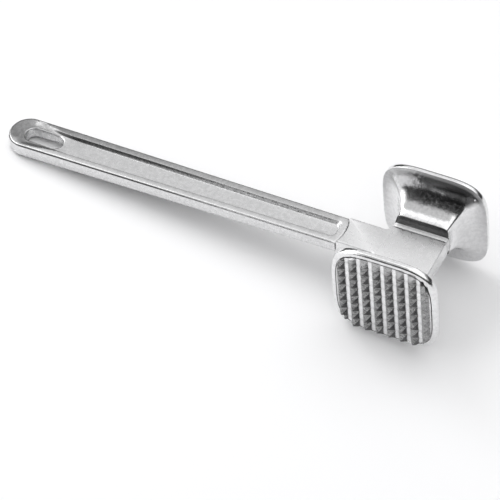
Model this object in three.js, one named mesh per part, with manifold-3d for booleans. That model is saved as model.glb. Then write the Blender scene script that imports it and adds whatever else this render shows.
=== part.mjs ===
// A meat mallet of cast aluminium: a flat handle with a hanging slot, a flat block in the middle of
// the head, and two flared striking heads. One head carries a plate of pyramid teeth, the
// other has a flat face. The handle and the heads plug into the block with tenons, and the toothed
// plate lies in a pocket of its head.
//
// The mallet is drawn in its own frame, with the middle of the head at the origin, the handle along
// -X, the toothed face towards -Y, the flat face towards +Y, and +Z up out of the block's flat top.
// The whole is then tipped about Y until it lies as it does on a table, on the grip end and on the
// lower rims of both heads. All sizes are in millimetres.

import * as THREE from "three";
import { mergeVertices } from "three/addons/utils/BufferGeometryUtils.js";
import Module from "manifold-3d";

// Overall sizes
const REACH = 193; // from the middle of the head to the grip end
const HEAD_WIDTH = 49; // of a striking head, along the handle
const HEAD_HEIGHT = 49;
const TOOTHED_FACE = 27; // from the middle of the head to the toothed head's rim
const FLAT_FACE = 29; // from the middle of the head to the flat face

// The gap that pieces fitted together keep on each side
const CLEARANCE = 0.3;

// Handle
const GRIP_WIDTH = 17.8;
const GRIP_THICKNESS = 6.6;
const HANDLE_END_WIDTH = 15.2;
const HANDLE_END_THICKNESS = 6;
const HANDLE_EDGE = 1.1; // rounding of the long edges
const SHOULDER = 30.2; // from the middle of the head to the handle's bowed end
const SHOULDER_RADIUS = 19;

// Hollow in each broad face of the handle
const RECESS_DEPTH = 1.7;
const RECESS_SLOPE = 1.4; // how far its side walls lean in, from top to floor
const RECESS_CORNER = 1.8;
const RECESS_TO_SHOULDER = 3;
const RIM_AT_TIP = 1; // flat left beside the hollow at the grip's tip
const RIM_AT_SIDES = 3.2; // and along the handle's sides

// Hanging slot
const SLOT_LENGTH = 18;
const SLOT_WIDTH = 7.6;
const SLOT_FROM_TIP = 7.7;

// Head block
const BLOCK_LENGTH = 25.4; // along the handle, between the two heads
const BLOCK_WIDTH = 19.8; // from one head's root to the other's
const BLOCK_THICKNESS = 7.8;
const BLOCK_EDGE = 0.4;
const NECK_WIDTH = 14.8;
const NECK_FILLET = 2.6;

// Tenons
const TENON_THICKNESS = 3;
const TANG_WIDTH = 8;
const TANG_LENGTH = 13;
const HEAD_TENON_WIDTH = 14;
const HEAD_TENON_LENGTH = 6.5;

// Striking heads
const COLLAR_LENGTH = 2.2; // level with the block, before the step up to the waist
const STEP_LENGTH = 0.9; // from the collar to the waist
const WAIST_WIDTH = 24; // where the flare starts
const WAIST_HEIGHT = 16.2;
const COLLAR_SQUARENESS = 10; // superellipse exponent of the collar's section
const WAIST_SQUARENESS = 7; // of the waist's
const RIM_SQUARENESS = 4; // and of the rim's
const RIM_DEPTH = 3;
const RIM_LIP = 0.6; // step from the flare out to the rim
const RIM_EDGE = 1.6; // rounding round a striking face
const RIM_WIDTH = 2.3; // left beside the pocket of the toothed plate

// Toothed plate
const PLATE_THICKNESS = 1.6;
const COLUMN_PITCH = 5.5; // from tooth to tooth along the handle
const ROW_PITCH = 4.9; // and across it
const COLUMN_GAP = 1.6; // flat between neighbouring columns of teeth
const ROW_GAP = 0.4; // and between rows
const TOOTH_HEIGHT = 2.9;
const TOOTH_TIP = 0.4; // flat across a worn tip

// Fineness of the curved surfaces
const RING_POINTS = 64;
const FLARE_STEPS = 8;
const ROUNDING_STEPS = 3;
const ARC_STEPS = 14;

const wasm = await Module();
wasm.setup();

/* ---------- helpers ---------- */

function toSolid(geometry) {
  geometry.deleteAttribute("normal");
  geometry.deleteAttribute("uv");
  const merged = mergeVertices(geometry, 1e-5);
  const mesh = new wasm.Mesh({
    numProp: 3,
    vertProperties: merged.attributes.position.array,
    triVerts: new Uint32Array(merged.index.array),
  });
  return new wasm.Manifold(mesh);
}

function toGeometry(solid) {
  const mesh = solid.getMesh();
  const geometry = new THREE.BufferGeometry();
  geometry.setAttribute("position", new THREE.BufferAttribute(mesh.vertProperties, 3));
  geometry.setIndex(new THREE.BufferAttribute(mesh.triVerts, 1));
  geometry.computeVertexNormals();
  return geometry;
}

function box(width, depth, height, x, y, z) {
  return toSolid(new THREE.BoxGeometry(width, depth, height).translate(x, y, z));
}

// A flat outline made thick, centred on z = 0, with its long edges rounded by `edge`.
function slab(outline, thickness, edge = 0, edgeSteps = 1) {
  const geometry = new THREE.ExtrudeGeometry(outline, {
    depth: thickness - 2 * edge,
    curveSegments: ARC_STEPS,
    bevelEnabled: edge > 0,
    bevelThickness: edge,
    bevelSize: edge,
    bevelOffset: -edge,
    bevelSegments: edgeSteps,
  });
  return geometry.translate(0, 0, edge - thickness / 2);
}

// A closed solid through a row of rings with the same number of points. Seen from the last ring,
// each ring runs anticlockwise.
function loft(rings) {
  const count = rings[0].length;
  const last = (rings.length - 1) * count;
  const startCentre = last + count;
  const endCentre = startCentre + 1;
  const faces = [];
  for (let i = 0; i < count; i++) {
    const next = (i + 1) % count;
    for (let near = 0; near < last; near += count) {
      const far = near + count;
      faces.push(near + i, near + next, far + next);
      faces.push(near + i, far + next, far + i);
    }
    faces.push(startCentre, next, i);
    faces.push(endCentre, last + i, last + next);
  }
  const points = [...rings.flat(), middle(rings[0]), middle(rings.at(-1))];
  return toSolid(new THREE.BufferGeometry().setFromPoints(points).setIndex(faces));
}

function middle(points) {
  const sum = new THREE.Vector3();
  points.forEach((point) => sum.add(point));
  return sum.divideScalar(points.length);
}

function lerp(from, to, share) {
  return THREE.MathUtils.lerp(from, to, share);
}

/* ---------- handle ---------- */

const GRIP_CENTRE = -REACH + GRIP_WIDTH / 2; // of the round grip end
const SLOT_START = -REACH + SLOT_FROM_TIP + SLOT_WIDTH / 2; // centre of the slot's outer round end
const SLOT_END = -REACH + SLOT_FROM_TIP + SLOT_LENGTH - SLOT_WIDTH / 2;
const SHOULDER_CENTRE = -SHOULDER - SHOULDER_RADIUS;

function disc(radius) {
  const outline = new THREE.Shape();
  outline.absarc(SHOULDER_CENTRE, 0, radius, 0, 2 * Math.PI);
  const geometry = new THREE.ExtrudeGeometry(outline, {
    depth: 2 * GRIP_THICKNESS,
    curveSegments: 4 * ARC_STEPS,
    bevelEnabled: false,
  });
  return toSolid(geometry.translate(0, 0, -GRIP_THICKNESS));
}

function handleOutline() {
  const outline = new THREE.Shape();
  outline.moveTo(0, -HANDLE_END_WIDTH / 2);
  outline.lineTo(0, HANDLE_END_WIDTH / 2);
  outline.absarc(GRIP_CENTRE, 0, GRIP_WIDTH / 2, Math.PI / 2, -Math.PI / 2);
  return outline;
}

// One edge of the hollow, at height z: round about the slot's end of the grip, narrowing to the
// slot's inner end, then following the handle's taper to two rounded corners near the shoulder.
function recessRing(roundCentre, roundRadius, inset, z) {
  const right = -SHOULDER - RECESS_TO_SHOULDER - (inset - RIM_AT_SIDES);
  const taper = (right - GRIP_CENTRE) / (-SHOULDER - GRIP_CENTRE);
  const waist = GRIP_WIDTH / 2 - inset;
  const half = lerp(GRIP_WIDTH, HANDLE_END_WIDTH, taper) / 2 - inset;
  const outline = new THREE.Path();
  outline.absarc(roundCentre, 0, roundRadius, Math.PI / 2, 1.5 * Math.PI);
  outline.lineTo(SLOT_END, -waist);
  outline.absarc(right - RECESS_CORNER, RECESS_CORNER - half, RECESS_CORNER, -Math.PI / 2, 0);
  outline.absarc(right - RECESS_CORNER, half - RECESS_CORNER, RECESS_CORNER, 0, Math.PI / 2);
  outline.lineTo(SLOT_END, waist);
  return outline.getPoints(ARC_STEPS / 2).map((point) => new THREE.Vector3(point.x, point.y, z));
}

function recess() {
  const top = GRIP_THICKNESS / 2;
  const floorInset = RIM_AT_SIDES + RECESS_SLOPE;
  const floor = recessRing(SLOT_START, GRIP_WIDTH / 2 - floorInset, floorInset, top - RECESS_DEPTH);
  const mouth = recessRing(GRIP_CENTRE, GRIP_WIDTH / 2 - RIM_AT_TIP, RIM_AT_SIDES, top);
  const above = mouth.map((point) => point.clone().setZ(GRIP_THICKNESS));
  return loft([floor, mouth, above]);
}

function slot() {
  const outline = new THREE.Shape();
  outline.absarc(SLOT_START, 0, SLOT_WIDTH / 2, Math.PI / 2, 1.5 * Math.PI);
  outline.absarc(SLOT_END, 0, SLOT_WIDTH / 2, -Math.PI / 2, Math.PI / 2);
  return toSolid(slab(outline, 2 * GRIP_THICKNESS));
}

// Thins the handle evenly from the grip to the shoulder.
function thinned(geometry) {
  const position = geometry.attributes.position;
  for (let i = 0; i < position.count; i++) {
    const share = (position.getX(i) - GRIP_CENTRE) / (-SHOULDER - GRIP_CENTRE);
    const scale = lerp(GRIP_THICKNESS, HANDLE_END_THICKNESS, share) / GRIP_THICKNESS;
    position.setZ(i, position.getZ(i) * scale);
  }
  return geometry;
}

function handle() {
  const blank = toSolid(slab(handleOutline(), GRIP_THICKNESS, HANDLE_EDGE, ROUNDING_STEPS));
  const upper = recess();
  const lower = upper.rotate([180, 0, 0]);
  const beyondShoulder = box(REACH, REACH, REACH, SHOULDER_CENTRE + REACH / 2, 0, 0);
  const trimmed = blank
    .subtract(upper)
    .subtract(lower)
    .subtract(slot())
    .subtract(beyondShoulder.subtract(disc(SHOULDER_RADIUS)));
  const body = toSolid(thinned(toGeometry(trimmed)));
  const rooted = SHOULDER_RADIUS / 2; // how far the tang reaches back into the body
  const tangMiddle = -SHOULDER + (TANG_LENGTH - rooted) / 2;
  const tang = box(TANG_LENGTH + rooted, TANG_WIDTH, TENON_THICKNESS, tangMiddle, 0, 0);
  return body.add(tang);
}

/* ---------- head block ---------- */

function blockOutline() {
  const halfLength = BLOCK_LENGTH / 2;
  const halfWidth = BLOCK_WIDTH / 2;
  const halfNeck = NECK_WIDTH / 2;
  const fillet = Math.min(NECK_FILLET, halfWidth - halfNeck);
  const filletX = -halfLength - fillet;
  const outline = new THREE.Shape();
  outline.moveTo(-halfLength, -halfWidth);
  outline.lineTo(halfLength, -halfWidth);
  outline.lineTo(halfLength, halfWidth);
  outline.lineTo(-halfLength, halfWidth);
  outline.absarc(filletX, halfNeck + fillet, fillet, 0, -Math.PI / 2, true);
  outline.lineTo(SHOULDER_CENTRE, halfNeck);
  outline.lineTo(SHOULDER_CENTRE, -halfNeck);
  outline.absarc(filletX, -halfNeck - fillet, fillet, Math.PI / 2, 0, true);
  return outline;
}

function headBlock() {
  const slack = 2 * CLEARANCE;
  const tangDepth = SHOULDER_RADIUS + TANG_LENGTH + CLEARANCE;
  const tangSocket = box(
    tangDepth, TANG_WIDTH + slack, TENON_THICKNESS + slack, SHOULDER_CENTRE + tangDepth / 2, 0, 0,
  );
  const socketLength = HEAD_TENON_LENGTH + slack;
  const socket = (side) => box(
    HEAD_TENON_WIDTH + slack, 2 * socketLength, TENON_THICKNESS + slack, 0, (side * BLOCK_WIDTH) / 2, 0,
  );
  return toSolid(slab(blockOutline(), BLOCK_THICKNESS, BLOCK_EDGE))
    .subtract(disc(SHOULDER_RADIUS + CLEARANCE))
    .subtract(tangSocket)
    .subtract(socket(-1))
    .subtract(socket(1));
}

/* ---------- striking heads ---------- */

// A superellipse across the head's axis, at y.
function headRing(halfWidth, halfHeight, squareness, y) {
  const rounded = (value) => {
    const size = Math.abs(value);
    return size < 1e-9 ? 0 : Math.sign(value) * size ** (2 / squareness);
  };
  const ring = [];
  for (let i = 0; i < RING_POINTS; i++) {
    const turn = (2 * Math.PI * i) / RING_POINTS;
    const x = halfWidth * rounded(Math.cos(turn));
    const z = -halfHeight * rounded(Math.sin(turn));
    ring.push(new THREE.Vector3(x, y, z));
  }
  return ring;
}

// A head with its face towards +Y: a collar level with the block, a step up to the waist, a flare
// that rises as a quarter of an ellipse to the rim, and a flat face at `faceY` with a rounded edge.
function flaredHead(faceY) {
  const collarY = BLOCK_WIDTH / 2 + CLEARANCE;
  const stepY = collarY + COLLAR_LENGTH;
  const waistY = stepY + STEP_LENGTH;
  const rimY = faceY - RIM_DEPTH;
  const wide = HEAD_WIDTH / 2;
  const high = HEAD_HEIGHT / 2;
  const rings = [
    headRing(BLOCK_LENGTH / 2, BLOCK_THICKNESS / 2, COLLAR_SQUARENESS, collarY),
    headRing(BLOCK_LENGTH / 2, BLOCK_THICKNESS / 2, COLLAR_SQUARENESS, stepY),
  ];
  for (let step = 0; step <= FLARE_STEPS; step++) {
    const turn = (Math.PI / 2) * (step / FLARE_STEPS);
    const along = Math.sin(turn);
    const rise = 1 - Math.cos(turn);
    const halfWidth = lerp(WAIST_WIDTH / 2, wide - RIM_LIP, rise);
    const halfHeight = lerp(WAIST_HEIGHT / 2, high - RIM_LIP, rise);
    const squareness = lerp(WAIST_SQUARENESS, RIM_SQUARENESS, along);
    rings.push(headRing(halfWidth, halfHeight, squareness, lerp(waistY, rimY, along)));
  }
  rings.push(headRing(wide, high, RIM_SQUARENESS, rimY));
  for (let step = 0; step <= ROUNDING_STEPS; step++) {
    const turn = (Math.PI / 2) * (step / ROUNDING_STEPS);
    const inset = RIM_EDGE * (1 - Math.cos(turn));
    const y = faceY - RIM_EDGE * (1 - Math.sin(turn));
    rings.push(headRing(wide - inset, high - inset, RIM_SQUARENESS, y));
  }
  const rooted = waistY - collarY; // how far the tenon reaches back into the head
  const tenonMiddle = collarY + (rooted - HEAD_TENON_LENGTH) / 2;
  const tenon = box(
    HEAD_TENON_WIDTH, HEAD_TENON_LENGTH + rooted, TENON_THICKNESS, 0, tenonMiddle, 0,
  );
  return loft(rings).add(tenon);
}

function flatHead() {
  return flaredHead(FLAT_FACE);
}

function toothedHead() {
  const wide = HEAD_WIDTH / 2 - RIM_WIDTH;
  const high = HEAD_HEIGHT / 2 - RIM_WIDTH;
  const pocketFloor = TOOTHED_FACE - PLATE_THICKNESS - CLEARANCE;
  const pocket = loft([
    headRing(wide, high, RIM_SQUARENESS, pocketFloor),
    headRing(wide, high, RIM_SQUARENESS, TOOTHED_FACE + PLATE_THICKNESS),
  ]);
  return flaredHead(TOOTHED_FACE).subtract(pocket).rotate([0, 0, 180]);
}

// A slab whose face is cut into ridges that run along Z, enough of them to cover `size`.
function ridges(size, pitch, gap) {
  const count = Math.ceil(size / pitch);
  const end = (count * pitch) / 2;
  const foot = (pitch - gap) / 2;
  const base = -TOOTHED_FACE;
  const tip = base - TOOTH_HEIGHT;
  const outline = new THREE.Shape();
  outline.moveTo(end, base + PLATE_THICKNESS);
  outline.lineTo(-end, base + PLATE_THICKNESS);
  outline.lineTo(-end, base);
  for (let ridge = 0; ridge < count; ridge++) {
    const crest = (ridge + 0.5) * pitch - end;
    outline.lineTo(crest - foot, base);
    outline.lineTo(crest - TOOTH_TIP / 2, tip);
    outline.lineTo(crest + TOOTH_TIP / 2, tip);
    outline.lineTo(crest + foot, base);
  }
  outline.lineTo(end, base);
  return toSolid(slab(outline, 2 * Math.max(HEAD_WIDTH, HEAD_HEIGHT)));
}

// Two crossing sets of ridges leave blunt pyramids.
function toothedPlate() {
  const wide = HEAD_WIDTH / 2 - RIM_WIDTH - CLEARANCE;
  const high = HEAD_HEIGHT / 2 - RIM_WIDTH - CLEARANCE;
  const reach = TOOTHED_FACE + 2 * TOOTH_HEIGHT;
  const blank = loft([
    headRing(wide, high, RIM_SQUARENESS, -reach),
    headRing(wide, high, RIM_SQUARENESS, 0),
  ]);
  const columns = ridges(2 * wide, COLUMN_PITCH, COLUMN_GAP);
  const rows = ridges(2 * high, ROW_PITCH, ROW_GAP).rotate([0, 90, 0]);
  return blank.intersect(columns).intersect(rows);
}

/* ---------- assembly ---------- */

function castAluminium(shade, roughness) {
  return new THREE.MeshStandardMaterial({
    color: new THREE.Color(shade, shade, shade),
    roughness,
    metalness: 1,
  });
}

function piece(name, solid, material) {
  const mesh = new THREE.Mesh(toGeometry(solid), material);
  mesh.name = name;
  return mesh;
}

function mallet() {
  const satin = castAluminium(0.72, 0.35);
  const bright = castAluminium(0.82, 0.18);
  const group = new THREE.Group();
  group.add(
    piece("handle", handle(), satin),
    piece("head_block", headBlock(), satin),
    piece("toothed_head", toothedHead(), bright),
    piece("toothed_plate", toothedPlate(), bright),
    piece("flat_head", flatHead(), bright),
  );
  return group;
}

// The angle about Y that lays the mallet on the longest edge of its lower outline, seen from -Y.
function restingTilt(group) {
  const points = [];
  for (const mesh of group.children) {
    const position = mesh.geometry.attributes.position;
    for (let i = 0; i < position.count; i++) {
      points.push(new THREE.Vector2(position.getX(i), position.getZ(i)));
    }
  }
  points.sort((a, b) => a.x - b.x || a.y - b.y);
  const hull = [];
  for (const point of points) {
    while (hull.length > 1 && turnsRight(hull.at(-2), hull.at(-1), point)) {
      hull.pop();
    }
    hull.push(point);
  }
  const edges = hull.slice(1).map((point, i) => point.clone().sub(hull[i]));
  const longest = edges.reduce((best, edge) => (edge.length() > best.length() ? edge : best));
  return Math.atan2(longest.y, longest.x);
}

function turnsRight(a, b, c) {
  return (b.x - a.x) * (c.y - a.y) - (b.y - a.y) * (c.x - a.x) <= 0;
}

const tipped = mallet();
tipped.rotation.y = restingTilt(tipped);

// The origin is the middle of the underside of the space that the mallet takes up.
const space = new THREE.Box3().setFromObject(tipped, true);
const centre = space.getCenter(new THREE.Vector3());
tipped.position.set(-centre.x, -centre.y, -space.min.z);

const part = new THREE.Group();
part.add(tipped);

export default part;
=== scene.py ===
# A meat mallet of cast aluminium, lying on a pale table. Every piece is drawn in the mallet's own
# frame, in millimetres: the middle of the head at the origin, the handle along -X, the toothed face
# towards -Y, the flat face towards +Y, and +Z up out of the head block's flat top. PLACE takes that
# frame to the row frame, in metres, where the mallet lies tipped on its grip end and its heads.

import math
import random

import bmesh
import bpy
import numpy as np
from mathutils import Matrix, Vector


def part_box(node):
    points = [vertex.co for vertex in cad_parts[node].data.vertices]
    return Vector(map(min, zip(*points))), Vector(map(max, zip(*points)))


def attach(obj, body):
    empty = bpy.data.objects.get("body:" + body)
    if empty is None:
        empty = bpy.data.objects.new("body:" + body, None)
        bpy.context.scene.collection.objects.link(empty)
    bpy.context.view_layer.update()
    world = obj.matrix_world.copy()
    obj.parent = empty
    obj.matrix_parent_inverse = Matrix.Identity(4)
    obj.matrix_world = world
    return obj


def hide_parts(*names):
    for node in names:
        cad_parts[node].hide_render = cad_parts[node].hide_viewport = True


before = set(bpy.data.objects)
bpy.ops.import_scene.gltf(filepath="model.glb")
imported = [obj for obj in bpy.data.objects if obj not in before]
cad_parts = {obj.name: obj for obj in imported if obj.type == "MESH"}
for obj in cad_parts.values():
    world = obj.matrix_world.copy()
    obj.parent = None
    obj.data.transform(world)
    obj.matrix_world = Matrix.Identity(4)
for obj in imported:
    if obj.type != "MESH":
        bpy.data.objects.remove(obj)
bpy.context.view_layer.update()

MM = 0.001


# ---------- the frame's own measures ----------

def widest_face_normal(node):
    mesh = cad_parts[node].data
    areas = {}
    for polygon in mesh.polygons:
        key = tuple(round(value, 2) for value in polygon.normal)
        areas[key] = areas.get(key, 0) + polygon.area
    upward = {key: area for key, area in areas.items() if key[2] > 0.5}
    best = max(upward, key=upward.get)
    total = Vector((0, 0, 0))
    for polygon in mesh.polygons:
        if (polygon.normal - Vector(best)).length < 0.05:
            total += polygon.normal * polygon.area
    return total.normalized()


def middle(node):
    low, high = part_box(node)
    return (low + high) / 2


up = widest_face_normal("head_block")
TILT = math.atan2(up.x, up.z)
CENTRE = Vector((middle("flat_head").x, middle("head_block").y, middle("flat_head").z))
PLACE = Matrix.Translation(CENTRE) @ Matrix.Rotation(TILT, 4, "Y") @ Matrix.Scale(MM, 4)
BACK = PLACE.inverted()


def own_direction(x, y, z):
    return (PLACE.to_3x3() @ Vector((x, y, z))).normalized()


def own_box(node):
    points = np.array([BACK @ v.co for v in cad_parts[node].data.vertices])
    return points.min(0), points.max(0)


handle_low, handle_high = own_box("handle")
_, block_high = own_box("head_block")
_, flat_high = own_box("flat_head")
toothed_low, _ = own_box("toothed_head")
plate_low, plate_high = own_box("toothed_plate")

REACH = -handle_low[0]
GRIP_HALF = handle_high[1]
GRIP_RISE = handle_high[2]
BLOCK_HALF_LENGTH = block_high[0]
BLOCK_HALF_WIDTH = block_high[1]
BLOCK_RISE = block_high[2]
HEAD_HALF = flat_high[0]
FLAT_FACE = flat_high[1]
TOOTHED_FACE = -toothed_low[1]
PLATE_HALF = plate_high[0]
TOOTH_TOP = -plate_low[1]
PLATE_BACK = -plate_high[1]

# Details finer than the frame's boxes, in millimetres. The tang is its length, half width and
# half height, and a tenon is its half length, depth and half height.
HANDLE_EDGE = 1.1
HANDLE_END_HALF = 7.6
HANDLE_END_RISE = 3.0
SHOULDER = 30.2
SHOULDER_RADIUS = 19
SHOULDER_CORNER = 1.5
RIM_AT_TIP = 1.0
RIM_AT_SIDES = 3.2
RECESS_DEPTH = 1.7
RECESS_DEPTH_AT_GRIP = 0.55
RECESS_SLOPE = 1.4
RECESS_SLOPE_AT_GRIP = 3.4
RECESS_TO_SHOULDER = 3.0
RECESS_CORNER = 1.8
RECESS_DEEPENS_OVER = 26
RECESS_NARROWS_PAST_SLOT = 6
SLOT_LENGTH = 18
SLOT_HALF = 3.8
SLOT_FROM_TIP = 7.7
SLOT_EDGE = 0.7
NECK_HALF = 7.4
NECK_FILLET = 2.4
BLOCK_EDGE = 0.5
SEAM = 0.3
TANG = (13, 4, 1.5)
TANG_ROOT = 2
COLLAR_END = 12.3
WAIST_START = 13.3
WAIST_HALF_WIDTH = 12
WAIST_HALF_HEIGHT = 8.1
RIM_DEPTH = 3
RIM_LIP = 0.6
RIM_EDGE = 1.6
RIM_WIDTH = 2.3
LIP_EDGE = 0.25
POCKET_EDGE = 0.15
TENON = (7, 6.5, 1.5)
COLUMN_PITCH = 5.5
ROW_PITCH = 4.9
COLUMN_GAP = 1.6
ROW_GAP = 0.4
TIP_LEAN = 0.16

# How square a head's section is: the power of its superellipse
COLLAR_SQUARENESS = 12
WAIST_SQUARENESS = 10
RIM_SQUARENESS = 4

GRIP_CENTRE = -REACH + GRIP_HALF
SLOT_START = -REACH + SLOT_FROM_TIP + SLOT_HALF
SLOT_FINISH = -REACH + SLOT_FROM_TIP + SLOT_LENGTH - SLOT_HALF
SHOULDER_CENTRE = -SHOULDER - SHOULDER_RADIUS


# ---------- numbers ----------

def lerp(start, end, share):
    return start + (end - start) * share


def clamp(value):
    return min(max(value, 0.0), 1.0)


def smooth(share):
    share = clamp(share)
    return share * share * (3 - 2 * share)


def eased(share, lead, tail):
    """A ramp from 0 to 1 whose slope builds up over `lead` and dies away over `tail`."""
    steep = 1 / (1 - lead / 2 - tail / 2)
    if share < lead:
        return steep * share * share / (2 * lead)
    if share > 1 - tail:
        return 1 - steep * (1 - share) ** 2 / (2 * tail)
    return steep * (share - lead / 2)


def spread(count, start=0.0, end=1.0):
    return [lerp(start, end, i / count) for i in range(count + 1)]


# ---------- meshes ----------

QUARTER = math.pi / 2
MERGE = 1e-4
PLATE_MERGE = 1e-3
PLATE_SHARP = 28


def add_object(name, data):
    thing = bpy.data.objects.new(name, data)
    bpy.context.scene.collection.objects.link(thing)
    return thing


def new_piece(name, points, faces, sharp=30):
    """A piece whose edges are shaded sharp where its faces turn by more than `sharp` degrees."""
    mesh = bpy.data.meshes.new(name)
    mesh.from_pydata([tuple(p) for p in points], [], faces)
    piece = add_object(name, mesh)
    finish_mesh(piece, sharp)
    return piece


def finish_mesh(piece, sharp):
    work = bmesh.new()
    work.from_mesh(piece.data)
    bmesh.ops.remove_doubles(work, verts=work.verts, dist=MERGE)
    bmesh.ops.dissolve_degenerate(work, edges=work.edges, dist=MERGE)
    bmesh.ops.recalc_face_normals(work, faces=work.faces)
    work.to_mesh(piece.data)
    work.free()
    piece.data.shade_smooth()
    piece.data.set_sharp_from_angle(angle=math.radians(sharp))


def stitched(rings, wrapped=False, capped=True):
    """Faces through a row of closed rings of equal length, with n-gon ends or wrapped round."""
    count = len(rings[0])
    faces = []
    last = len(rings) if wrapped else len(rings) - 1
    for level in range(last):
        near = level * count
        far = ((level + 1) % len(rings)) * count
        for i in range(count):
            j = (i + 1) % count
            faces.append((near + i, near + j, far + j, far + i))
    if capped and not wrapped:
        faces.append(tuple(range(count)))
        faces.append(tuple((len(rings) - 1) * count + i for i in range(count)))
    return faces


def ring_piece(name, rings, wrapped=False, sharp=30):
    points = [p for ring in rings for p in ring]
    return new_piece(name, points, stitched(rings, wrapped), sharp)


def block_of(low, high):
    xs, ys, zs = zip(low, high)
    corners = [(x, y, z) for x in xs for y in ys for z in zs]
    faces = [(0, 1, 3, 2), (4, 6, 7, 5), (0, 4, 5, 1), (2, 3, 7, 6), (0, 2, 6, 4), (1, 5, 7, 3)]
    return new_piece("tool", corners, faces)


def combine(piece, tools, operation):
    """Joins tools to a piece or cuts them from it, and removes them."""
    for tool in tools:
        modifier = piece.modifiers.new("combine", "BOOLEAN")
        modifier.operation = operation
        modifier.solver = "EXACT"
        modifier.object = tool
        bpy.context.view_layer.objects.active = piece
        bpy.ops.object.modifier_apply(modifier=modifier.name)
        bpy.data.objects.remove(tool)
    return piece


def hand_over(piece, node, material):
    piece.data.transform(PLACE)
    piece.data.update()
    piece.data.materials.clear()
    piece.data.materials.append(material)
    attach(piece, "root")
    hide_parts(node)


# ---------- handle ----------

TIP_STEPS = 26
SIDE_STEPS = 70
CORNER_STEPS = 8
END_STEPS = 10
WALL_SHARES = (0, 0.05, 0.12, 0.22, 0.36, 0.5, 0.64, 0.76, 0.86, 0.94, 1)
FLOOR_SHARES = (0.2, 0.4, 0.6, 0.75, 0.85, 0.92, 0.97, 1)


def mirrored(half):
    """A closed outline from its half with y >= 0, which starts and ends on the axis."""
    return half + [(x, -y) for x, y in reversed(half[1:-1])]


def round_tip(centre, radius):
    """Half of a round end towards the grip, from the axis to the side."""
    turns = [math.pi - a for a in spread(TIP_STEPS, 0, QUARTER)]
    return [(centre + radius * math.cos(a), radius * math.sin(a)) for a in turns]


def half_width(x):
    return lerp(GRIP_HALF, HANDLE_END_HALF, (x - GRIP_CENTRE) / -GRIP_CENTRE)


def rise(x):
    return lerp(GRIP_RISE, HANDLE_END_RISE, clamp((x - GRIP_CENTRE) / (-SHOULDER - GRIP_CENTRE)))


def outer_outline(inset):
    half = round_tip(GRIP_CENTRE, GRIP_HALF - inset)
    bow = SHOULDER_RADIUS - inset
    corner_y = half_width(-SHOULDER - SHOULDER_CORNER) - inset
    corner_x = SHOULDER_CENTRE + math.sqrt(bow * bow - corner_y * corner_y)
    for share in spread(SIDE_STEPS)[1:]:
        x = lerp(GRIP_CENTRE, corner_x, share)
        half.append((x, half_width(x) - inset))
    for share in spread(CORNER_STEPS + END_STEPS)[1:]:
        y = corner_y * (1 - share)
        half.append((SHOULDER_CENTRE + math.sqrt(bow * bow - y * y), max(y, 0)))
    return mirrored(half)


def hollow_outline(share):
    """An outline of the hollow's side wall: share 0 at its mouth, 1 at its floor."""
    tip_centre = lerp(GRIP_CENTRE, SLOT_START, share)
    mouth_radius = GRIP_HALF - RIM_AT_TIP
    tip_radius = lerp(mouth_radius, mouth_radius - RECESS_SLOPE_AT_GRIP, share)
    inset = RIM_AT_SIDES + RECESS_SLOPE * share
    right = -SHOULDER - RECESS_TO_SHOULDER - RECESS_SLOPE * share
    corner = RECESS_CORNER
    half = round_tip(tip_centre, tip_radius)
    end_x = right - corner
    for step in spread(SIDE_STEPS)[1:]:
        x = lerp(tip_centre, end_x, step)
        narrowing = smooth((x - tip_centre) / (SLOT_FINISH + RECESS_NARROWS_PAST_SLOT - tip_centre))
        half.append((x, lerp(tip_radius, half_width(x) - inset, narrowing)))
    corner_y = half_width(end_x) - inset
    for a in spread(CORNER_STEPS, QUARTER, 0)[1:]:
        half.append((end_x + corner * math.cos(a), corner_y - corner + corner * math.sin(a)))
    for step in spread(END_STEPS)[1:]:
        half.append((right, (corner_y - corner) * (1 - step)))
    return mirrored(half)


def slot_outline(grown):
    radius = SLOT_HALF + grown
    half = round_tip(SLOT_START, radius)
    for share in spread(SIDE_STEPS)[1:]:
        half.append((lerp(SLOT_START, SLOT_FINISH, share), radius))
    for a in spread(CORNER_STEPS + END_STEPS, QUARTER, 0)[1:]:
        half.append((SLOT_FINISH + radius * math.cos(a), max(radius * math.sin(a), 0)))
    return mirrored(half)


def depth(x):
    return lerp(RECESS_DEPTH_AT_GRIP, RECESS_DEPTH, smooth((x - SLOT_START) / RECESS_DEEPENS_OVER))


def handle_half_rings():
    """Rings of (x, y, z) from the middle of the outer wall, over the upper face, to the middle of
    the slot's wall."""
    rings = []
    for a in spread(7, 0, QUARTER):
        drop = HANDLE_EDGE * (1 - math.sin(a))
        ring = outer_outline(HANDLE_EDGE * (1 - math.cos(a)))
        rings.append([(x, y, rise(x) - drop) for x, y in ring])
    for share in WALL_SHARES:
        fall = eased(share, 0.3, 0.34)
        rings.append([(x, y, rise(x) - depth(x) * fall) for x, y in hollow_outline(share)])
    floor = hollow_outline(1)
    edge = slot_outline(SLOT_EDGE)
    for share in FLOOR_SHARES:
        ring = [(lerp(f[0], e[0], share), lerp(f[1], e[1], share)) for f, e in zip(floor, edge)]
        rings.append([(x, y, rise(x) - depth(x)) for x, y in ring])
    for a in spread(6, 0, QUARTER)[1:]:
        ring = slot_outline(SLOT_EDGE * (1 - math.sin(a)))
        drop = SLOT_EDGE * (1 - math.cos(a))
        rings.append([(x, y, rise(x) - depth(x) - drop) for x, y in ring])
    return rings


def make_handle():
    upper = handle_half_rings()
    lower = [[(x, y, -z) for x, y, z in ring] for ring in reversed(upper)]
    handle = ring_piece("mallet_handle", upper + lower, wrapped=True, sharp=40)
    length, half, high = TANG
    root = -SHOULDER - TANG_ROOT
    tang = block_of((root, -half, -high), (-SHOULDER + length, half, high))
    return combine(handle, [tang], "UNION")


# ---------- head block ----------

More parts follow.
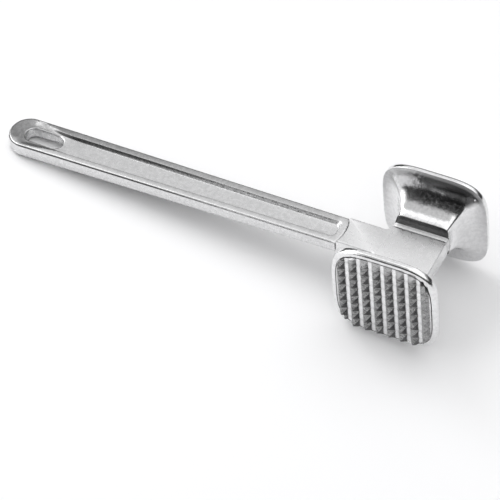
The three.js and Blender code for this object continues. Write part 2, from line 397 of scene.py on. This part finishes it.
def offset(outline, distance):
    """The closed outline moved inwards; its points run anticlockwise."""
    moved = []
    count = len(outline)
    for i, point in enumerate(outline):
        before = Vector(outline[i - 1])
        here = Vector(point)
        after = Vector(outline[(i + 1) % count])
        first = (here - before).normalized()
        second = (after - here).normalized()
        normal = (Vector((-first.y, first.x)) + Vector((-second.y, second.x))).normalized()
        reach = distance / max(normal.dot(Vector((-first.y, first.x))), 0.5)
        moved.append(tuple(here + normal * reach))
    return moved


def block_outline():
    bow = SHOULDER_RADIUS + SEAM
    half = []
    for share in spread(14):
        y = NECK_HALF * share
        half.append((SHOULDER_CENTRE + math.sqrt(bow * bow - y * y), y))
    turn_x = -BLOCK_HALF_LENGTH - NECK_FILLET
    for a in spread(10, -QUARTER, 0):
        x = turn_x + NECK_FILLET * math.cos(a)
        half.append((x, NECK_HALF + NECK_FILLET + NECK_FILLET * math.sin(a)))
    half.append((-BLOCK_HALF_LENGTH, BLOCK_HALF_WIDTH))
    half.append((BLOCK_HALF_LENGTH, BLOCK_HALF_WIDTH))
    half.append((BLOCK_HALF_LENGTH, 0))
    return list(reversed(mirrored(half)))


def make_block():
    outline = block_outline()
    rings = []
    quarter = spread(5, 0, QUARTER)
    for side in (-1, 1):
        turns = reversed(quarter) if side < 0 else quarter
        for a in turns:
            inset = BLOCK_EDGE * (1 - math.cos(a))
            height = side * (BLOCK_RISE - BLOCK_EDGE * (1 - math.sin(a)))
            rings.append([(x, y, height) for x, y in offset(outline, inset)])
    block = ring_piece("mallet_head_block", rings, sharp=35)
    length, half, high = TANG
    near, deep, thick = TENON
    socket_low = (SHOULDER_CENTRE, -half - SEAM, -high - SEAM)
    socket_high = (-SHOULDER + length + SEAM, half + SEAM, high + SEAM)
    tools = [block_of(socket_low, socket_high)]
    for side in (-1, 1):
        inner = side * (BLOCK_HALF_WIDTH - deep - SEAM)
        outer = side * (BLOCK_HALF_WIDTH + deep)
        low_y, high_y = sorted((inner, outer))
        socket_low = (-near - SEAM, low_y, -thick - SEAM)
        tools.append(block_of(socket_low, (near + SEAM, high_y, thick + SEAM)))
    return combine(block, tools, "DIFFERENCE")


# ---------- striking heads ----------

RING_POINTS = 256


def section(half_wide, half_high, squareness, y):
    ring = []
    for i in range(RING_POINTS):
        turn = 2 * math.pi * i / RING_POINTS
        c, s = math.cos(turn), math.sin(turn)
        x = half_wide * math.copysign(abs(c) ** (2 / squareness), c)
        z = half_high * math.copysign(abs(s) ** (2 / squareness), s)
        ring.append((x, y, z))
    return ring


def flare_stations(face):
    """(y, half width, half height, squareness) from the collar to the rim."""
    start = BLOCK_HALF_WIDTH + SEAM
    rim = face - RIM_DEPTH
    stations = []
    for share in (0, 0.35, 0.7, 0.9):
        y = lerp(start, COLLAR_END, share)
        stations.append((y, BLOCK_HALF_LENGTH, BLOCK_RISE, COLLAR_SQUARENESS))
    for share in spread(14):
        climb = eased(share, 0.5, 0.3)
        y = lerp(COLLAR_END, WAIST_START, share)
        wide = lerp(BLOCK_HALF_LENGTH, WAIST_HALF_WIDTH, climb)
        high = lerp(BLOCK_RISE, WAIST_HALF_HEIGHT, climb)
        stations.append((y, wide, high, lerp(COLLAR_SQUARENESS, WAIST_SQUARENESS, climb)))
    for share in spread(48)[1:]:
        turn = share * QUARTER
        grown = 1 - math.cos(turn)
        y = lerp(WAIST_START, rim, math.sin(turn))
        wide = lerp(WAIST_HALF_WIDTH, HEAD_HALF - RIM_LIP, grown)
        high = lerp(WAIST_HALF_HEIGHT, HEAD_HALF - RIM_LIP, grown)
        squareness = lerp(WAIST_SQUARENESS, RIM_SQUARENESS, smooth(grown))
        stations.append((y, wide, high, squareness))
    return stations


def rim_stations(face):
    """The same for the rim, from the lip behind it to its rounded front edge."""
    rim = face - RIM_DEPTH
    stations = []
    for a in spread(4, 0, QUARTER):
        half = HEAD_HALF - LIP_EDGE * (1 - math.sin(a))
        stations.append((rim + LIP_EDGE * (1 - math.cos(a)), half, half, RIM_SQUARENESS))
    for a in spread(8, 0, QUARTER):
        half = HEAD_HALF - RIM_EDGE * (1 - math.cos(a))
        stations.append((face - RIM_EDGE * (1 - math.sin(a)), half, half, RIM_SQUARENESS))
    return stations


def rings_of(stations):
    return [section(wide, high, squareness, y) for y, wide, high, squareness in stations]


def with_tenon(head, turned):
    near, deep, thick = TENON
    inner, outer = BLOCK_HALF_WIDTH - deep, WAIST_START
    low_y, high_y = (-outer, -inner) if turned else (inner, outer)
    tenon = block_of((-near, low_y, -thick), (near, high_y, thick))
    return combine(head, [tenon], "UNION")


def make_flat_head():
    stations = flare_stations(FLAT_FACE) + rim_stations(FLAT_FACE)
    return with_tenon(ring_piece("mallet_flat_head", rings_of(stations), sharp=35), turned=False)


def make_toothed_head():
    face = TOOTHED_FACE
    floor = PLATE_BACK - SEAM
    pocket = HEAD_HALF - RIM_WIDTH
    stations = flare_stations(face) + rim_stations(face)
    mouth = pocket + POCKET_EDGE
    for y, half in ((face, mouth), (face - POCKET_EDGE, pocket), (floor, pocket)):
        stations.append((y, half, half, RIM_SQUARENESS))
    rings = [[(-x, -y, z) for x, y, z in ring] for ring in rings_of(stations)]
    return with_tenon(ring_piece("mallet_toothed_head", rings, sharp=35), turned=True)


# ---------- toothed plate ----------

TOOTH_SHARES = (-1, -0.88, -0.66, -0.44, -0.22, -0.07, 0, 0.07, 0.22, 0.44, 0.66, 0.88, 1)
PAST_FOOT = 2
TIP_HEIGHTS = (0.95, 1.03)
TIP_SHARE = 1.03
TIP_ROUNDING = 0.0036


def tooth_count(pitch):
    return math.ceil(2 * PLATE_HALF / pitch)


def tooth_lines(pitch, gap):
    """Where the lines of the plate's net cross it: (tooth, share of its foot, place)."""
    count = tooth_count(pitch)
    foot = (pitch - gap) / 2
    end = count * pitch / 2
    lines = [(0, -PAST_FOOT, -end)]
    for tooth in range(count):
        centre = (tooth + 0.5) * pitch - end
        for share in TOOTH_SHARES:
            lines.append((tooth, share, centre + share * foot))
    lines.append((count - 1, PAST_FOOT, end))
    return lines


def foot_share(place, pitch, gap):
    """The tooth nearest to a place, and how far from its middle it is, as a share of its foot."""
    count = tooth_count(pitch)
    from_end = place + count * pitch / 2
    tooth = min(max(math.floor(from_end / pitch), 0), count - 1)
    return tooth, abs(from_end - (tooth + 0.5) * pitch) / ((pitch - gap) / 2)


def make_plate():
    """A net drawn in to the plate's soft-cornered outline and raised to blunt pyramids, each of
    its own height and lean. Each square of the net is split along the tooth's ridge."""
    chance = random.Random(7)
    top = TOOTH_TOP - TOOTHED_FACE
    columns = tooth_lines(COLUMN_PITCH, COLUMN_GAP)
    rows = tooth_lines(ROW_PITCH, ROW_GAP)
    tips = {}
    for column in range(columns[-1][0] + 1):
        for row in range(rows[-1][0] + 1):
            high = top * chance.uniform(*TIP_HEIGHTS)
            lean_x = chance.uniform(-TIP_LEAN, TIP_LEAN)
            lean_z = chance.uniform(-TIP_LEAN, TIP_LEAN)
            tips[column, row] = (high, lean_x, lean_z)
    points = []
    for _, _, x in columns:
        for _, _, z in rows:
            norm = abs(x / PLATE_HALF) ** RIM_SQUARENESS + abs(z / PLATE_HALF) ** RIM_SQUARENESS
            norm **= 1 / RIM_SQUARENESS
            shrink = min(1, 1 / norm) if norm else 1
            column, across = foot_share(x * shrink, COLUMN_PITCH, COLUMN_GAP)
            row, along = foot_share(z * shrink, ROW_PITCH, ROW_GAP)
            high, lean_x, lean_z = tips[column, row]
            size = max(across, along)
            share = TIP_SHARE - math.sqrt(size * size + TIP_ROUNDING)
            share = min(max(share, 0), top / high)
            y = -TOOTHED_FACE - high * share
            points.append((x * shrink + lean_x * share, y, z * shrink + lean_z * share))
    count = len(rows)
    faces = []
    for i in range(len(columns) - 1):
        for j in range(count - 1):
            a, b = i * count + j, (i + 1) * count + j
            c, d = b + 1, a + 1
            if (columns[i][1] >= 0) == (rows[j][1] >= 0):
                faces += [(a, b, c), (a, c, d)]
            else:
                faces += [(a, b, d), (b, c, d)]
    return plate_from_net(points, faces)


def plate_from_net(points, faces):
    """The net with its rim drawn back to the plate's rear. Known fault: the parts of the net that
    were drawn in to the outline stay as slivers on it, so some edges there aren't closed and
    the faces come out pointing inwards."""
    work = bmesh.new()
    corners = [work.verts.new(p) for p in points]
    for face in faces:
        work.faces.new([corners[i] for i in face])
    bmesh.ops.remove_doubles(work, verts=work.verts, dist=PLATE_MERGE)
    bmesh.ops.dissolve_degenerate(work, edges=work.edges, dist=PLATE_MERGE)
    rim = [edge for edge in work.edges if edge.is_boundary]
    wall = bmesh.ops.extrude_edge_only(work, edges=rim)["geom"]
    lower = [v for v in wall if isinstance(v, bmesh.types.BMVert)]
    for vertex in lower:
        vertex.co.y = -PLATE_BACK
    rim = [edge for edge in work.edges if edge.is_boundary]
    bmesh.ops.contextual_create(work, geom=rim)
    bmesh.ops.recalc_face_normals(work, faces=work.faces)
    mesh = bpy.data.meshes.new("mallet_toothed_plate")
    work.to_mesh(mesh)
    work.free()
    mesh.shade_smooth()
    mesh.set_sharp_from_angle(angle=math.radians(PLATE_SHARP))
    return add_object("mallet_toothed_plate", mesh)


# ---------- materials ----------

class Nodes:
    """A small writer of shader nodes."""

    def __init__(self, tree):
        self.tree = tree
        self.tree.nodes.clear()

    def add(self, kind, inputs=None, **settings):
        node = self.tree.nodes.new(kind)
        for key, value in settings.items():
            setattr(node, key, value)
        for key, value in (inputs or {}).items():
            if isinstance(value, bpy.types.NodeSocket):
                self.tree.links.new(value, node.inputs[key])
            else:
                node.inputs[key].default_value = value
        return node

    def noise(self, place, scale, detail=3, roughness=0.5, distortion=0):
        node = self.add("ShaderNodeTexNoise", {
            "Vector": place, "Scale": scale, "Detail": detail,
            "Roughness": roughness, "Distortion": distortion,
        })
        return node.outputs["Fac"]

    def ramp(self, value, low, high, start=0.0, end=1.0):
        node = self.add("ShaderNodeMapRange", {
            "Value": value, "From Min": low, "From Max": high, "To Min": start, "To Max": end,
        }, interpolation_type="SMOOTHSTEP")
        return node.outputs["Result"]

    def ramp_mm(self, value, low, high, start=0.0, end=1.0):
        """A ramp over a length in metres between two places given in millimetres."""
        return self.ramp(value, low * MM, high * MM, start, end)

    def math(self, operation, first, second=0.0):
        node = self.add("ShaderNodeMath", {0: first, 1: second}, operation=operation)
        return node.outputs["Value"]

    def times(self, first, second):
        return self.math("MULTIPLY", first, second)

    def dot(self, vector, direction):
        node = self.add("ShaderNodeVectorMath", {0: vector, 1: direction}, operation="DOT_PRODUCT")
        return node.outputs["Value"]

    def mix(self, share, first, second):
        node = self.add("ShaderNodeMix", {"Factor": share}, data_type="RGBA")
        for key, value in ((6, first), (7, second)):
            if isinstance(value, bpy.types.NodeSocket):
                self.tree.links.new(value, node.inputs[key])
            else:
                node.inputs[key].default_value = value
        return node.outputs[2]

    def bump(self, height, distance, strength=1.0, normal=None):
        inputs = {"Height": height, "Distance": distance, "Strength": strength}
        if normal is not None:
            inputs["Normal"] = normal
        return self.add("ShaderNodeBump", inputs).outputs["Normal"]

    def end(self, kind, result):
        output = self.add(kind)
        self.tree.links.new(result, output.inputs["Surface"])


def new_material(name):
    material = bpy.data.materials.new(name)
    material.use_nodes = True
    return material, Nodes(material.node_tree)


COOLNESS = 1.005


def grey(value):
    return (value, value, value * COOLNESS, 1)


def own_place(nodes, place):
    """The mallet's own x, y and z of a place, in metres."""
    moved = nodes.add("ShaderNodeVectorMath", {0: place, 1: tuple(CENTRE)}, operation="SUBTRACT")
    turned = nodes.add("ShaderNodeVectorRotate", {
        "Vector": moved.outputs["Vector"], "Axis": (0, 1, 0), "Angle": -TILT,
    })
    return nodes.add("ShaderNodeSeparateXYZ", {"Vector": turned.outputs["Vector"]}).outputs


def band(nodes, value, begins, ends, soft):
    """1 where a length lies between two others given in millimetres, with soft edges."""
    rises = nodes.ramp_mm(value, begins - soft, begins + soft)
    falls = nodes.ramp_mm(value, ends - soft, ends + soft, 1, 0)
    return nodes.times(rises, falls)


# What is painted dark: the step as painted shade, which ends a little past the waist's start, and
# a slope as painted dark reflection, which fades over DARK_FADE behind the face, over DARK_LEFT
# towards the handle, and down its flank. FLANK_SLOPE and DARK_LEFT_SHARE are shares, and the rest
# is in millimetres.
DARK_STEP_PAST_WAIST = 0.2
DARK_STEP_SOFT = 0.15
DARK_GRAIN = 1.4
DARK_FADE = (RIM_DEPTH + 1.5, RIM_DEPTH + 6)
DARK_RIM_SOFT = 0.1
DARK_LEFT = (-12, -4)
DARK_LEFT_SHARE = 0.25
FLANK_SLOPE = 0.68
FLANK_FADE = 4


def painted_step_shade_and_flare_reflection(nodes, place, cloud):
    """Where the metal is painted dark: the step from each collar to its waist, as painted shade, and,
    fading out in grains, the upper slope of each flare below its rim, as a painted dark reflection."""
    own = own_place(nodes, place)
    reach = nodes.math("ABSOLUTE", own["Y"])
    # Painted shade: the step from collar to waist is painted dark.
    step = band(nodes, reach, COLLAR_END, WAIST_START + DARK_STEP_PAST_WAIST, DARK_STEP_SOFT)
    # Painted dark reflection: the flare's upper slope below the rim, fading out in grains.
    face = nodes.ramp(own["Y"], -MM, MM, TOOTHED_FACE * MM, FLAT_FACE * MM)
    behind = nodes.math("SUBTRACT", face, reach)
    grain = nodes.ramp(cloud, 0.35, 0.65, -DARK_GRAIN * MM, DARK_GRAIN * MM)
    slope = nodes.ramp_mm(nodes.math("ADD", behind, grain), *DARK_FADE, 1, 0)
    past_rim = nodes.ramp_mm(behind, RIM_DEPTH - DARK_RIM_SOFT, RIM_DEPTH + DARK_RIM_SOFT)
    slope = nodes.times(slope, past_rim)
    flank = nodes.times(nodes.math("ABSOLUTE", own["X"]), FLANK_SLOPE)
    slope = nodes.times(slope, nodes.ramp_mm(nodes.math("SUBTRACT", own["Z"], flank), 0, FLANK_FADE))
    away = nodes.math("ADD", own["X"], nodes.times(grain, 2))
    slope = nodes.times(slope, nodes.ramp_mm(away, *DARK_LEFT, DARK_LEFT_SHARE, 1))
    return nodes.math("MAXIMUM", step, slope)


# The teeth's painted shade and painted light. Places are in millimetres, the slant is in degrees,
# and a painted shade is a share. A pair is where a change begins and ends.
TOOTH_FOOT_EDGE = (-0.15, 0.4)
STREAK_SLANT = 35
STREAK_STRETCH = 0.25
STREAK_SCALE = 2600
STREAK_PAINTED_SHADE = (0.22, -0.24)
FACING_AWAY = (0.3, 0.6)
FACET_PAINTED_SHADE = (0.64, 1.12)
TOP_ROW = (18.2, 19.2)
TOP_ROW_PAINTED_LIGHT = 0.6
LAST_COLUMN = (16, 17)
LAST_COLUMN_PAINTED_LIGHT = 0.3


def painted_teeth_shade(nodes, place, _cloud):
    """The teeth are painted dark as shade, most of all on their sides away from the handle, which face
    away from the light. The grooves between the columns are not darkened, and the top row and the
    last column are partly painted lighter, as where light falls."""
    own = own_place(nodes, place)
    along = nodes.math("FLOORED_MODULO", own["X"], COLUMN_PITCH * MM)
    off_middle = nodes.math("ABSOLUTE", nodes.math("SUBTRACT", along, COLUMN_PITCH / 2 * MM))
    foot = (COLUMN_PITCH - COLUMN_GAP) / 2
    inside, outside = TOOTH_FOOT_EDGE
    tooth = nodes.ramp_mm(off_middle, foot + inside, foot + outside, 1, 0)
    slanted = nodes.add("ShaderNodeMapping", {
        "Vector": place, "Rotation": (0, math.radians(STREAK_SLANT), 0), "Scale": (STREAK_STRETCH, 1, 1),
    }).outputs["Vector"]
    streak = nodes.ramp(nodes.noise(slanted, STREAK_SCALE, 2, 0.6), 0.35, 0.65, *STREAK_PAINTED_SHADE)
    # Painted shade: facets facing +X, away from the light, are painted darker.
    facet = nodes.add("ShaderNodeNewGeometry").outputs["True Normal"]
    away = nodes.dot(facet, own_direction(1, 0, 0))
    painted_shade = nodes.math("ADD", nodes.ramp(away, *FACING_AWAY, *FACET_PAINTED_SHADE), streak)
    # Painted light: the top row and the last column are painted lighter.
    top_row = nodes.ramp_mm(own["Z"], *TOP_ROW, 0, TOP_ROW_PAINTED_LIGHT)
    last_column = nodes.ramp_mm(own["X"], *LAST_COLUMN, 0, LAST_COLUMN_PAINTED_LIGHT)
    painted_light = nodes.math("MAXIMUM", top_row, last_column)
    painted_shade = nodes.times(painted_shade, nodes.math("SUBTRACT", 1, painted_light))
    return nodes.times(tooth, painted_shade)


# The handle's painted shade. Places are in millimetres in the mallet's own frame, and a facing is
# 0 on an upright wall and 1 on a flat. FLOOR_PAINTED_SHADE and RIM_PAINTED_SHADE are a painted
# shade at the head and what the grip end adds to it, and any other pair is where a change begins
# and ends.
FLOOR_PAINTED_SHADE = (0.08, 0.25)
RIM_PAINTED_SHADE = (0.16, 0.30)
HANDLE_MOTTLE = 0.08
RIM_RISE = (2.1, 2.8)
RIM_SIDE = (-6.5, -3.5)
HOLLOW_END = (-37, -34.5)
FLAT_FACING = (0.86, 0.97)
WALL_FACING = (0.35, 0.55)
WALL_NOT_FLAT = (0.80, 0.95)
WALL_SIDE = (4.2, 4.7)
WALL_FOOT = (1.9, 2.4)
WALL_TOP_PAINTED_SHADE = 0.15
WALL_ALL_PAINTED_SHADE = (0.35, 0.65)


def painted_handle_shade(nodes, place, cloud):
    """The handle's flats are painted darker than the head, as shade and dark reflection, most of all
    towards the grip and on the rim beside the hollow. The hollow's long walls are painted dark as
    shade: wholly near the grip, and at their foot near the head."""
    own = own_place(nodes, place)
    normal = nodes.add("ShaderNodeNewGeometry").outputs["Normal"]
    facing = nodes.math("ABSOLUTE", nodes.dot(normal, own_direction(0, 0, 1)))
    height = nodes.math("ABSOLUTE", own["Z"])
    # Painted shade and dark reflection: the flats are painted darker towards the grip and on the rim.
    to_grip = nodes.math("DIVIDE", own["X"], -REACH * MM)
    at_head, added = FLOOR_PAINTED_SHADE
    floor = nodes.math("ADD", nodes.times(to_grip, added), at_head)
    at_head, added = RIM_PAINTED_SHADE
    rim = nodes.math("ADD", nodes.times(to_grip, added), at_head)
    on_rim = nodes.times(nodes.ramp_mm(height, *RIM_RISE), rim)
    on_rim = nodes.times(on_rim, nodes.ramp_mm(own["Y"], *RIM_SIDE))
    before_end = nodes.ramp_mm(own["X"], *HOLLOW_END, 1, 0)
    on_rim = nodes.times(on_rim, before_end)
    mottle = nodes.ramp(cloud, 0.3, 0.7, HANDLE_MOTTLE, -HANDLE_MOTTLE)
    painted_shade = nodes.math("ADD", nodes.math("ADD", floor, on_rim), mottle)
    flats = nodes.times(nodes.ramp(facing, *FLAT_FACING), painted_shade)
    # Painted shade: the hollow's long walls are painted dark.
    wall = nodes.times(nodes.ramp(facing, *WALL_FACING), nodes.ramp(facing, *WALL_NOT_FLAT, 1, 0))
    wall = nodes.times(wall, before_end)
    wall = nodes.times(wall, nodes.ramp_mm(nodes.math("ABSOLUTE", own["Y"]), *WALL_SIDE))
    foot = nodes.ramp_mm(height, *WALL_FOOT, 1, WALL_TOP_PAINTED_SHADE)
    wall = nodes.times(wall, nodes.math("MAXIMUM", foot, nodes.ramp(to_grip, *WALL_ALL_PAINTED_SHADE)))
    return nodes.math("MAXIMUM", flats, wall)


# Shares of a metal's own shade, roughness, ripple and grain. PAINTED_HOLLOW_SHADE is painted shade
# in hollows, PAINTED_DARK_SHADE that of the places painted dark as shade and dark reflection, and
# WEAR_AND_HIGHLIGHT_SHADE brightens edges as wear and painted highlight. WEAR_AND_HIGHLIGHT_LIMIT
# is a shade, and COLLAR_SOFT is in millimetres.
PAINTED_HOLLOW_SHADE = 0.55
PAINTED_DARK_SHADE = 0.15
WEAR_AND_HIGHLIGHT_SHADE = 1.12
WEAR_AND_HIGHLIGHT_LIMIT = 0.95
ROUGHER = 1.35
SMOOTHER = 0.8
SCRATCH_ROUGHNESS = 0.5
CLOUD_RIPPLE = 0.35
SCRATCH_GRAIN = 0.15
COLLAR_SOFT = 0.1


def cast_metal(name, shade, roughness, ripple, grain, mottle, painted_dark=None, collar_roughness=None):
    """Cast aluminium: a shallow ripple left by polishing, fine grain, light scratches, cloudy
    tone, painted shade in its hollows, and edges painted brighter, partly as wear and partly as a
    painted highlight. Ripple and grain are depths in metres. `painted_dark` gives the places painted
    dark as shade and dark reflection, and `collar_roughness` is that of a head's collar."""
    material, nodes = new_material(name)
    place = nodes.add("ShaderNodeTexCoord").outputs["Object"]
    broad = nodes.noise(place, scale=210, detail=3, roughness=0.55, distortion=0.4)
    cloud = nodes.noise(place, scale=620, detail=4, roughness=0.6, distortion=0.3)
    fine = nodes.noise(place, scale=3600, detail=3, roughness=0.6)
    stretched = nodes.add("ShaderNodeMapping", {"Vector": place, "Scale": (0.05, 1, 1)})
    scratch = nodes.noise(stretched.outputs["Vector"], scale=5200, detail=2, roughness=0.7)
    edge = nodes.add("ShaderNodeNewGeometry").outputs["Pointiness"]
    # Convex edges, where pointiness is high, are painted brighter, partly as wear and partly as a
    # painted highlight.
    wear_and_highlight = nodes.ramp(edge, 0.52, 0.6)
    # Painted shade: hollows, where pointiness is low, are painted darker.
    hollow = nodes.ramp(edge, 0.49, 0.42)
    tone = nodes.mix(nodes.ramp(cloud, 0.35, 0.68), grey(shade * (1 - mottle)), grey(shade))
    tone = nodes.mix(hollow, tone, grey(shade * PAINTED_HOLLOW_SHADE))
    # Painted shade and dark reflection: the places given by painted_dark are painted dark.
    if painted_dark:
        tone = nodes.mix(painted_dark(nodes, place, cloud), tone, grey(shade * PAINTED_DARK_SHADE))
    tone = nodes.mix(wear_and_highlight, tone, grey(min(shade * WEAR_AND_HIGHLIGHT_SHADE, WEAR_AND_HIGHLIGHT_LIMIT)))
    rough = nodes.ramp(cloud, 0.3, 0.7, roughness * ROUGHER, roughness * SMOOTHER)
    scratched = nodes.ramp(scratch, 0.55, 0.75, 0, roughness * SCRATCH_ROUGHNESS)
    rough = nodes.math("ADD", rough, scratched)
    if collar_roughness:
        reach = nodes.math("ABSOLUTE", own_place(nodes, place)["Y"])
        collar = nodes.ramp_mm(reach, COLLAR_END - COLLAR_SOFT, COLLAR_END, collar_roughness, 0)
        rough = nodes.math("MAXIMUM", rough, collar)
    normal = nodes.bump(broad, ripple)
    normal = nodes.bump(cloud, ripple * CLOUD_RIPPLE, normal=normal)
    normal = nodes.bump(fine, grain, normal=normal)
    normal = nodes.bump(scratch, grain * SCRATCH_GRAIN, normal=normal)
    shader = nodes.add("ShaderNodeBsdfPrincipled", {
        "Base Color": tone, "Roughness": rough, "Normal": normal, "Metallic": 1.0,
    })
    nodes.end("ShaderNodeOutputMaterial", shader.outputs["BSDF"])
    return material


TABLE_SHADE = 0.96
TABLE_ROUGHNESS = 0.6


def table_material():
    material, nodes = new_material("pale_table")
    shader = nodes.add("ShaderNodeBsdfPrincipled", {
        "Base Color": grey(TABLE_SHADE), "Roughness": TABLE_ROUGHNESS,
    })
    nodes.end("ShaderNodeOutputMaterial", shader.outputs["BSDF"])
    return material


# ---------- surroundings ----------

# The studio as the metal sees it: a wide soft light overhead, dark walls, and soft-edged parts.
# WALL_TOP and OVERHEAD_FROM are heights in degrees. Each part has its direction in the mallet's
# own frame, the angles in degrees from it at which it begins to fade and is gone, and its
# brightness. The camera itself sees a pale backdrop.
OVERHEAD = 1.3
WALLS = 0.06
WALL_TOP = 24
OVERHEAD_FROM = 52
STUDIO = (
    ((-0.335, -0.352, 0.887), 12, 26, 0.62),
    ((-0.18, -0.93, 0.30), 22, 40, 0.06),
    ((-0.80, -0.48, 0.36), 14, 34, 2.2),
    ((-0.335, 0.583, 0.740), 8, 22, 0.92),
)
BACKDROP = 0.95
TABLE_REACH = 6


def sine(degrees):
    return math.sin(math.radians(degrees))


def cosine(degrees):
    return math.cos(math.radians(degrees))


def build_world():
    world = bpy.data.worlds.new("studio")
    bpy.context.scene.world = world
    world.use_nodes = True
    nodes = Nodes(world.node_tree)
    place = nodes.add("ShaderNodeTexCoord").outputs["Generated"]
    height = nodes.add("ShaderNodeSeparateXYZ", {"Vector": place}).outputs["Z"]
    lit = nodes.ramp(height, sine(WALL_TOP), sine(OVERHEAD_FROM))
    tone = nodes.mix(lit, grey(WALLS), grey(OVERHEAD))
    for direction, inner, outer, brightness in STUDIO:
        nearness = nodes.dot(place, own_direction(*direction))
        share = nodes.ramp(nearness, cosine(outer), cosine(inner))
        tone = nodes.mix(share, tone, grey(brightness))
    seen = nodes.add("ShaderNodeLightPath").outputs["Is Camera Ray"]
    tone = nodes.mix(seen, tone, grey(BACKDROP))
    background = nodes.add("ShaderNodeBackground", {"Color": tone, "Strength": 1.0})
    nodes.end("ShaderNodeOutputWorld", background.outputs["Background"])


def build_floor():
    mesh = bpy.data.meshes.new("table")
    signs = ((-1, -1), (1, -1), (1, 1), (-1, 1))
    mesh.from_pydata([(x * TABLE_REACH, y * TABLE_REACH, 0) for x, y in signs], [], [(0, 1, 2, 3)])
    floor = add_object("table", mesh)
    mesh.materials.append(table_material())


def aim(obj, position, target):
    obj.location = position
    obj.rotation_euler = (Vector(target) - Vector(position)).to_track_quat("-Z", "Y").to_euler()


def area_light(name, direction, distance, size, power):
    """A round light that shines from a direction of the row frame on the mallet's middle."""
    light = bpy.data.lights.new(name, "AREA")
    light.shape = "DISK"
    light.size = size
    light.energy = power
    lamp = add_object(name, light)
    target = CENTRE * 0.5
    aim(lamp, target + Vector(direction).normalized() * distance, target)


# The camera: its right and back in the mallet's own frame, and how far it stands back from the
# head, to its left and above it, in millimetres
CAMERA_RIGHT = (0.8980, 0.4353, -0.0642)
CAMERA_BACK = (0.3354, -0.5827, 0.7403)
CAMERA_DISTANCE = 1645.5
CAMERA_TO_LEFT = 68.04
CAMERA_ABOVE = 2.70
LENS = 278.8
SENSOR = 36


def build_camera():
    camera = bpy.data.cameras.new("camera")
    camera.sensor_width = SENSOR
    camera.lens = LENS
    camera.clip_end = 50
    holder = add_object("camera", camera)
    right = own_direction(*CAMERA_RIGHT)
    back = own_direction(*CAMERA_BACK)
    above = back.cross(right).normalized()
    right = above.cross(back)
    offset_mm = back * CAMERA_DISTANCE - right * CAMERA_TO_LEFT + above * CAMERA_ABOVE
    position = CENTRE + offset_mm * MM
    turned = Matrix((right, above, back)).transposed().to_4x4()
    holder.matrix_world = Matrix.Translation(position) @ turned
    bpy.context.scene.camera = holder


# ---------- the whole ----------

satin = cast_metal(
    "satin_cast_aluminium",
    shade=0.74, roughness=0.30, ripple=0.00006, grain=0.000012, mottle=0.10,
)
grip = cast_metal(
    "grip_cast_aluminium_painted_shade",
    shade=0.76, roughness=0.26, ripple=0.00006, grain=0.000012, mottle=0.10, painted_dark=painted_handle_shade,
)
bright = cast_metal(
    "bright_cast_aluminium",
    shade=0.86, roughness=0.13, ripple=0.00010, grain=0.000010, mottle=0.12, painted_dark=painted_step_shade_and_flare_reflection,
    collar_roughness=0.5,
)
teeth = cast_metal(
    "tooth_cast_aluminium",
    shade=0.86, roughness=0.30, ripple=0.00004, grain=0.000012, mottle=0.15, painted_dark=painted_teeth_shade,
)

hand_over(make_handle(), "handle", grip)
hand_over(make_block(), "head_block", satin)
hand_over(make_flat_head(), "flat_head", bright)
hand_over(make_toothed_head(), "toothed_head", bright)
hand_over(make_plate(), "toothed_plate", teeth)

build_floor()
build_world()
area_light("key", (-1.0, 0.25, 0.8), distance=2.2, size=1.4, power=16)
build_camera()
bpy.context.scene.view_settings.view_transform = "Standard"
